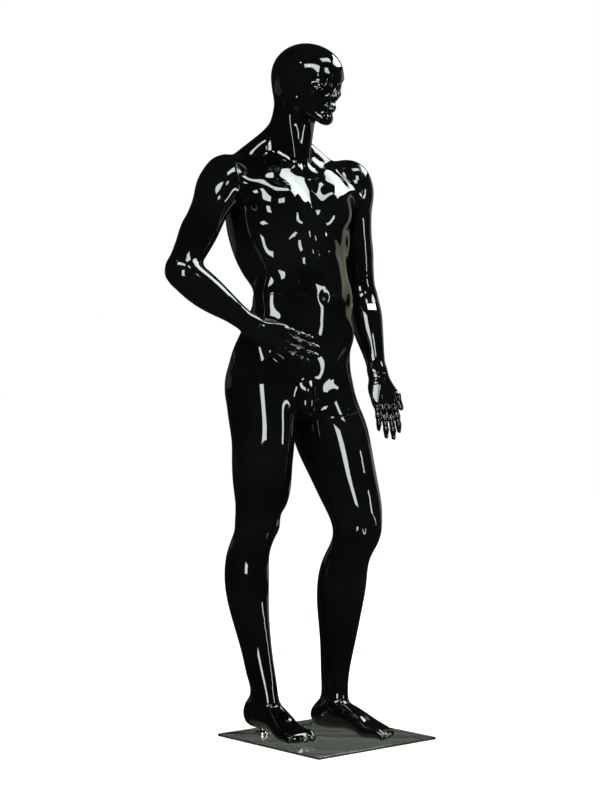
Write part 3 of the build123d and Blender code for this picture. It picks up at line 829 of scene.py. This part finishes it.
def cut_seam(bm, point, normal, low=(-1e4,) * 3, high=(1e4,) * 3):
    """Cut at a plane, between two corners, and keep the side its normal points away from. The shell
    ends half a seam short of the plane, with a rounded lip and a flat face."""
    n = unit(normal)
    level = np.asarray(point, float) - n * (LIP + SEAM / 2)
    p = places(bm.verts)
    inside = {v for v, ok in zip(bm.verts, ((p > low) & (p < high)).all(1)) if ok}
    geom = list(inside)
    geom += [e for e in bm.edges if e.verts[0] in inside and e.verts[1] in inside]
    geom += [f for f in bm.faces if all(v in inside for v in f.verts)]
    bmesh.ops.bisect_plane(bm, geom=geom, dist=0.3, plane_co=level, plane_no=n, clear_outer=True)
    rim = {v for e in bm.edges if e.is_boundary for v in e.verts}
    bmesh.ops.remove_doubles(bm, verts=list(rim), dist=0.4)
    bm.normal_update()
    loop = rim_loop(bm)
    start = places(loop)
    flow = np.roll(start, -1, 0) - np.roll(start, 1, 0)
    inward = np.cross(n, flow)
    inward /= np.linalg.norm(inward, axis=1)[:, None]
    if ((start - start.mean(0)) * inward).sum() > 0:
        inward = -inward
    for turn in (30, 60, 90):
        a = math.radians(turn)
        at = start + n * LIP * math.sin(a) + inward * LIP * (1 - math.cos(a))
        ring = [bm.verts.new(c) for c in at]
        for i in range(len(loop)):
            j = (i + 1) % len(loop)
            bm.faces.new((loop[j], loop[i], ring[i], ring[j]))
        loop = ring
    bm.faces.new(loop[::-1])


def relax(bm, reach, cell):
    """Smooth over about reach millimetres where the cells are whole, and less where they are refined."""
    every_way = dict(use_axis_x=True, use_axis_y=True, use_axis_z=True)
    for _ in range(round(4 * (reach / cell) ** 2)):
        bmesh.ops.smooth_vert(bm, verts=bm.verts, factor=0.5, **every_way)


def finish_shell(bm, name, body, *nodes):
    """Turn millimetres into metres and hand the shell to the frame."""
    bmesh.ops.recalc_face_normals(bm, faces=bm.faces)
    mesh = bpy.data.meshes.new(name)
    bm.to_mesh(mesh)
    bm.free()
    for face in mesh.polygons:
        face.use_smooth = True
    mesh.transform(Matrix.Scale(MM, 4))
    shell = bpy.data.objects.new(name, mesh)
    bpy.context.scene.collection.objects.link(shell)
    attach(shell, body)
    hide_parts(*nodes)
    return shell


def node_box(node, spare=40):
    """A CAD node's box in millimetres, with room round it."""
    low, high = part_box(node)
    return np.array(low) / MM - spare, np.array(high) / MM + spare


def lower_shell():
    field = lower_field()
    bm = surface(field, *node_box("hips_and_right_leg"), CELL)
    keep_largest(bm)
    refine(bm, field, vec(-121, -5, 30), 85)
    refine(bm, field, vec(-113, 166, 62), 9)
    relax(bm, SMOOTH, CELL)
    point, normal = THIGH_SEAM
    cut_seam(bm, point, -normal, (-62, -500, 760), (500, 500, 900))
    cut_seam(bm, *WAIST_SEAM)
    return finish_shell(bm, "hips_and_right_leg_shell", "lower_body", "hips_and_right_leg")


def left_leg_shell():
    field = left_leg_field()
    bm = surface(field, *node_box("left_leg"), CELL)
    keep_largest(bm)
    refine(bm, field, vec(78, -90, 30), 85)
    relax(bm, SMOOTH, CELL)
    cut_seam(bm, *THIGH_SEAM)
    return finish_shell(bm, "left_leg_shell", "left_leg", "left_leg")


def torso_shell():
    field = torso_field()
    bm = surface(field, *node_box("head_and_torso"), CELL)
    keep_largest(bm)
    refine(bm, field, on_head(0, 70, -40), 85)
    eyes_and_mouth = (on_head(31, 85, -10), 24), (on_head(-31, 85, -10), 24), (on_head(0, 94, -58), 30)
    for spot, radius in eyes_and_mouth:
        refine(bm, field, spot, radius)
    relax(bm, SMOOTH, CELL)
    point, normal = WAIST_SEAM
    cut_seam(bm, point, -normal)
    for side in SIDES.values():
        cut_seam(bm, *shoulder_seam(side))
    return finish_shell(bm, "head_and_torso_shell", "torso", "head_and_torso")


def arm_shell(name):
    side = SIDES[name]
    field = arm_field(side)
    bm = surface(field, *node_box(name), CELL)
    keep_largest(bm)
    relax(bm, ARM_SMOOTH, CELL)
    point, normal = shoulder_seam(side)
    cut_seam(bm, point, -normal, point - 250, point + 250)
    cut_seam(bm, *wrist_seam(side))
    return finish_shell(bm, name + "_shell", name, name)


def hand_shell(name):
    side = SIDES[name.replace("hand", "arm")]
    field = hand_field(side)
    bm = surface(field, *node_box(name, 24), HAND_CELL)
    keep_largest(bm)
    relax(bm, HAND_SMOOTH, HAND_CELL)
    point, normal = wrist_seam(side)
    cut_seam(bm, point, -normal)
    return finish_shell(bm, name + "_shell", name, name)


def label(arm_shell, facing_to=vec(-0.25, -0.97, 0)):
    """Small sticker wrapped round the left forearm."""
    start, along = LEFT_ARM["elbow"], unit(LEFT_ARM["wrist"] - LEFT_ARM["elbow"])
    out = unit(facing_to - along * (facing_to @ along))
    across = np.cross(along, out)
    tree = BVHTree.FromObject(arm_shell, bpy.context.evaluated_depsgraph_get())
    bm = bmesh.new()
    rows = []
    for v in np.linspace(-9, 9, 9):
        row = []
        for u in np.linspace(-13, 13, 13):
            above = (start + along * (54 + v) + across * u + out * 80) * MM
            hit, normal = tree.ray_cast(Vector(above), Vector(-out))[:2]
            row.append(bm.verts.new(hit + normal * 0.25 * MM))
        rows.append(row)
    for low, high in zip(rows, rows[1:]):
        for i in range(len(low) - 1):
            bm.faces.new((low[i], low[i + 1], high[i + 1], high[i]))
    bmesh.ops.recalc_face_normals(bm, faces=bm.faces)
    bmesh.ops.solidify(bm, geom=bm.faces, thickness=0.4 * MM)
    bmesh.ops.recalc_face_normals(bm, faces=bm.faces)
    mesh = bpy.data.meshes.new("forearm_sticker")
    bm.to_mesh(mesh)
    bm.free()
    for face in mesh.polygons:
        face.use_smooth = True
    sticker = bpy.data.objects.new("forearm_sticker", mesh)
    bpy.context.scene.collection.objects.link(sticker)
    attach(sticker, "left_arm")
    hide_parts("forearm_label")
    return sticker


# ---------------------------------------------------------------- materials

GLASS_TINTS = (0.160, 0.182, 0.142, 1), (0.185, 0.205, 0.165, 1)
# painted shade: dark green base colour for the plate's cut edge, darker than the faces' own tint
GLASS_EDGE_SHADE = (0.02, 0.05, 0.03, 1)


def material(name, **values):
    """A principled material and its nodes."""
    made = bpy.data.materials.new(name)
    made.use_nodes = True
    nodes = made.node_tree.nodes
    shader = nodes["Principled BSDF"]
    for key, value in values.items():
        shader.inputs[key.replace("_", " ")].default_value = value
    return made, nodes, made.node_tree.links, shader


def noise(nodes, links, scale, detail=3.0, stretch=(1, 1, 1)):
    where = nodes.new("ShaderNodeTexCoord")
    mapping = nodes.new("ShaderNodeMapping")
    mapping.inputs["Scale"].default_value = stretch
    texture = nodes.new("ShaderNodeTexNoise")
    texture.inputs["Scale"].default_value = scale
    texture.inputs["Detail"].default_value = detail
    links.new(where.outputs["Object"], mapping.inputs["Vector"])
    links.new(mapping.outputs["Vector"], texture.inputs["Vector"])
    return texture.outputs["Fac"]


def spread_to(nodes, links, source, low, high, target):
    """Map noise around its middle to a range."""
    ranged = nodes.new("ShaderNodeMapRange")
    ranged.inputs["From Min"].default_value = 0.3
    ranged.inputs["From Max"].default_value = 0.7
    ranged.inputs["To Min"].default_value = low
    ranged.inputs["To Max"].default_value = high
    links.new(source, ranged.inputs["Value"])
    links.new(ranged.outputs["Result"], target)


def tint(nodes, links, source, dark, light, target):
    ramp = nodes.new("ShaderNodeValToRGB")
    ramp.color_ramp.elements[0].position, ramp.color_ramp.elements[1].position = 0.35, 0.65
    ramp.color_ramp.elements[0].color, ramp.color_ramp.elements[1].color = (*dark, 1), (*light, 1)
    links.new(source, ramp.inputs["Fac"])
    links.new(ramp.outputs["Color"], target)


def bump(nodes, links, source, distance, shader):
    node = nodes.new("ShaderNodeBump")
    node.inputs["Distance"].default_value = distance
    node.inputs["Strength"].default_value = 1.0
    links.new(source, node.inputs["Height"])
    links.new(node.outputs["Normal"], shader.inputs["Normal"])


def black_lacquer():
    """Deep black gloss with a little waviness, and a roughness that changes slightly."""
    made, nodes, links, shader = material("black_lacquer", Coat_Weight=0.3, Coat_Roughness=0.01, IOR=1.5)
    tint(nodes, links, noise(nodes, links, 6.0), (0.0010, 0.0011, 0.0011), (0.0026, 0.0028, 0.0028),
         shader.inputs["Base Color"])
    spread_to(nodes, links, noise(nodes, links, 35.0, 5.0), 0.015, 0.055, shader.inputs["Roughness"])
    bump(nodes, links, noise(nodes, links, 90.0, 2.0), 0.00002, shader)
    return made


def tinted_glass():
    """Clear on its faces, with painted shade at its cut edge: where the normal lies level the base colour
    is a dark green that stands in for the light lost along the plate.
    """
    made, nodes, links, shader = material("tinted_glass", Transmission_Weight=1.0, IOR=1.5)
    where, split, edge = (nodes.new("ShaderNode" + kind) for kind in ("TexCoord", "SeparateXYZ", "Mix"))
    links.new(where.outputs["Normal"], split.inputs[0])
    flat = nodes.new("ShaderNodeMath")
    flat.operation = "ABSOLUTE"
    links.new(split.outputs["Z"], flat.inputs[0])
    edge.data_type = "RGBA"
    links.new(flat.outputs["Value"], edge.inputs["Factor"])
    # painted shade: the cut edge, picked by its level normal, gets the dark green instead of the faces'
    # tint
    cut, face = edge.inputs[6], nodes.new("ShaderNodeValToRGB")
    cut.default_value = GLASS_EDGE_SHADE
    face.color_ramp.elements[0].color, face.color_ramp.elements[1].color = GLASS_TINTS
    links.new(noise(nodes, links, 3.0), face.inputs["Fac"])
    links.new(face.outputs["Color"], edge.inputs[7])
    links.new(edge.outputs[2], shader.inputs["Base Color"])
    spread_to(nodes, links, noise(nodes, links, 5.0, 1.0), 0.0, 0.012, shader.inputs["Roughness"])
    return made


def metal(name, dark, light, rough, grain, stretch=(1, 1, 1)):
    made, nodes, links, shader = material(name, Metallic=1.0)
    source = noise(nodes, links, grain, 6.0, stretch)
    tint(nodes, links, source, dark, light, shader.inputs["Base Color"])
    spread_to(nodes, links, source, *rough, shader.inputs["Roughness"])
    bump(nodes, links, source, 0.00003, shader)
    return made


def rubber():
    made, nodes, links, shader = material("black_rubber")
    source = noise(nodes, links, 700.0, 6.0)
    tint(nodes, links, source, (0.012, 0.012, 0.013), (0.03, 0.03, 0.031), shader.inputs["Base Color"])
    spread_to(nodes, links, source, 0.55, 0.8, shader.inputs["Roughness"])
    bump(nodes, links, source, 0.00008, shader)
    return made


def paper():
    made, nodes, links, shader = material("white_label")
    source = noise(nodes, links, 900.0, 8.0, (1, 1, 0.4))
    tint(nodes, links, source, (0.74, 0.73, 0.70), (0.86, 0.85, 0.82), shader.inputs["Base Color"])
    spread_to(nodes, links, source, 0.45, 0.65, shader.inputs["Roughness"])
    bump(nodes, links, source, 0.00004, shader)
    return made


def finish_of(node):
    """Which finish a CAD node gets."""
    if node == "glass_plate":
        return "glass"
    if node == "flange_gasket":
        return "rubber"
    return "chrome" if node in ("spigot_flange", "spigot_rod", "plate_bolt") else "steel"


def paint(node, made):
    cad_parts[node].data.materials.clear()
    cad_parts[node].data.materials.append(made)


# ---------------------------------------------------------------- stage, light and camera

# azimuth (0 is in front of the figure, positive to its left), elevation, distance, height of the spot it
# points at, width, height, radiance, colour
SOFTBOXES = {
    "key": (74, 40, 3.6, 1.30, 3.0, 1.3, 11, (0.88, 1.0, 0.96)),
    "beside_camera": (-43, 0, 5.4, 0.85, 1.4, 2.3, 12, (0.92, 1.0, 0.97)),
    "above_camera": (-52, 37, 4.0, 0.70, 2.4, 0.8, 12, (0.90, 1.0, 0.97)),
    "overhead": (10, 56, 2.8, 1.35, 1.5, 0.6, 11, (0.90, 1.0, 0.97)),
    "tall": (31, 0, 3.6, 0.75, 0.36, 1.4, 11, (0.88, 1.0, 0.96)),
    "front": (-6, 26, 3.2, 1.2, 0.6, 0.5, 11, (0.90, 1.0, 0.97)),
    "olive_left": (100, 6, 3.5, 0.9, 1.6, 2.6, 0.40, (1.0, 0.98, 0.72)),
    "olive_right": (-162, 4, 3.5, 0.95, 2.4, 1.0, 0.12, (1.0, 0.98, 0.72)),
    "spark": (-60, 30, 3.0, 1.3, 0.10, 0.10, 90, (1.0, 0.80, 0.86)),
    "ember": (-84, 40, 3.0, 1.3, 0.12, 0.08, 60, (1.0, 0.55, 0.30)),
}


MIDDLE_OF_FIGURE = (-0.05, 0.05)


def softbox(name, azimuth, elevation, distance, aim, width, height, radiance, colour):
    a, e = math.radians(azimuth), math.radians(elevation)
    away = Vector((math.sin(a) * math.cos(e), -math.cos(a) * math.cos(e), math.sin(e)))
    data = bpy.data.lights.new(name, "AREA")
    data.shape, data.size, data.size_y = "RECTANGLE", width, height
    data.energy, data.color = radiance * math.pi * width * height, colour
    lamp = bpy.data.objects.new(name, data)
    lamp.location = Vector((*MIDDLE_OF_FIGURE, aim)) + away * distance
    lamp.rotation_euler = (-away).to_track_quat("-Z", "Y").to_euler()
    lamp.visible_camera = False
    bpy.context.scene.collection.objects.link(lamp)


def studio():
    """White where the camera sees it, nearly black in reflections, with softboxes round the figure."""
    world = bpy.data.worlds.new("studio")
    bpy.context.scene.world = world
    world.use_nodes = True
    nodes, links = world.node_tree.nodes, world.node_tree.links
    seen = nodes["Background"]
    dark, mix = nodes.new("ShaderNodeBackground"), nodes.new("ShaderNodeMixShader")
    seen.inputs["Color"].default_value = (1, 1, 1, 1)
    dark.inputs["Color"].default_value = (0.012, 0.013, 0.011, 1)
    path = nodes.new("ShaderNodeLightPath")
    links.new(path.outputs["Is Camera Ray"], mix.inputs["Fac"])
    links.new(dark.outputs["Background"], mix.inputs[1])
    links.new(seen.outputs["Background"], mix.inputs[2])
    links.new(mix.outputs["Shader"], nodes["World Output"].inputs["Surface"])
    for name, values in SOFTBOXES.items():
        softbox(name, *values)


def camera():
    data = bpy.data.cameras.new("camera")
    data.lens, data.sensor_width = 78.48, 36.0
    eye = bpy.data.objects.new("camera", data)
    eye.location = (-2.970, -3.381, 0.871)
    eye.rotation_euler = (math.radians(90), 0, math.radians(-40.43))
    bpy.context.scene.collection.objects.link(eye)
    bpy.context.scene.camera = eye


def floor():
    """Pale floor with painted light: it glows, at 0.6 strength near the figure and full strength beyond 2.5
    m, so that it fades into the white background away from the figure.
    """
    bm = bmesh.new()
    bmesh.ops.create_grid(bm, x_segments=2, y_segments=2, size=30)
    mesh = bpy.data.meshes.new("floor")
    bm.to_mesh(mesh)
    bm.free()
    ground = bpy.data.objects.new("floor", mesh)
    bpy.context.scene.collection.objects.link(ground)
    made, nodes, links, shader = material("pale_floor", Roughness=0.9)
    tint(nodes, links, noise(nodes, links, 4.0), (0.80, 0.80, 0.80), (0.84, 0.84, 0.84),
         shader.inputs["Base Color"])
    shader.inputs["Emission Color"].default_value = (1, 1, 1, 1)
    where, near = nodes.new("ShaderNodeTexCoord"), nodes.new("ShaderNodeVectorMath")
    near.operation = "LENGTH"
    links.new(where.outputs["Object"], near.inputs[0])
    # painted light: the floor's emission strength grows with distance from the figure
    floor_glow = nodes.new("ShaderNodeMapRange")
    floor_glow.inputs["From Min"].default_value, floor_glow.inputs["From Max"].default_value = 0.3, 2.5
    floor_glow.inputs["To Min"].default_value, floor_glow.inputs["To Max"].default_value = 0.6, 1.0
    links.new(near.outputs["Value"], floor_glow.inputs["Value"])
    links.new(floor_glow.outputs["Result"], shader.inputs["Emission Strength"])
    mesh.materials.append(made)
    ground.visible_glossy = False


# ---------------------------------------------------------------- the whole scene

camera()
studio()
floor()
lacquer = black_lacquer()
shells = [lower_shell(), left_leg_shell(), torso_shell(), arm_shell("right_arm"), arm_shell("left_arm"),
          hand_shell("right_hand"), hand_shell("left_hand")]
for shell in shells:
    shell.data.materials.append(lacquer)
finishes = {"chrome": metal("chrome", (0.60, 0.61, 0.62), (0.72, 0.73, 0.74), (0.04, 0.10), 60.0),
            "steel": metal("steel", (0.42, 0.42, 0.42), (0.58, 0.58, 0.57), (0.22, 0.36), 40.0, (1, 1, 14)),
            "rubber": rubber(), "glass": tinted_glass()}
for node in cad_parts:
    paint(node, finishes[finish_of(node)])
label(shells[4]).data.materials.append(paper())
bpy.context.scene.view_settings.view_transform = "Standard"

bpy.context.view_layer.update()
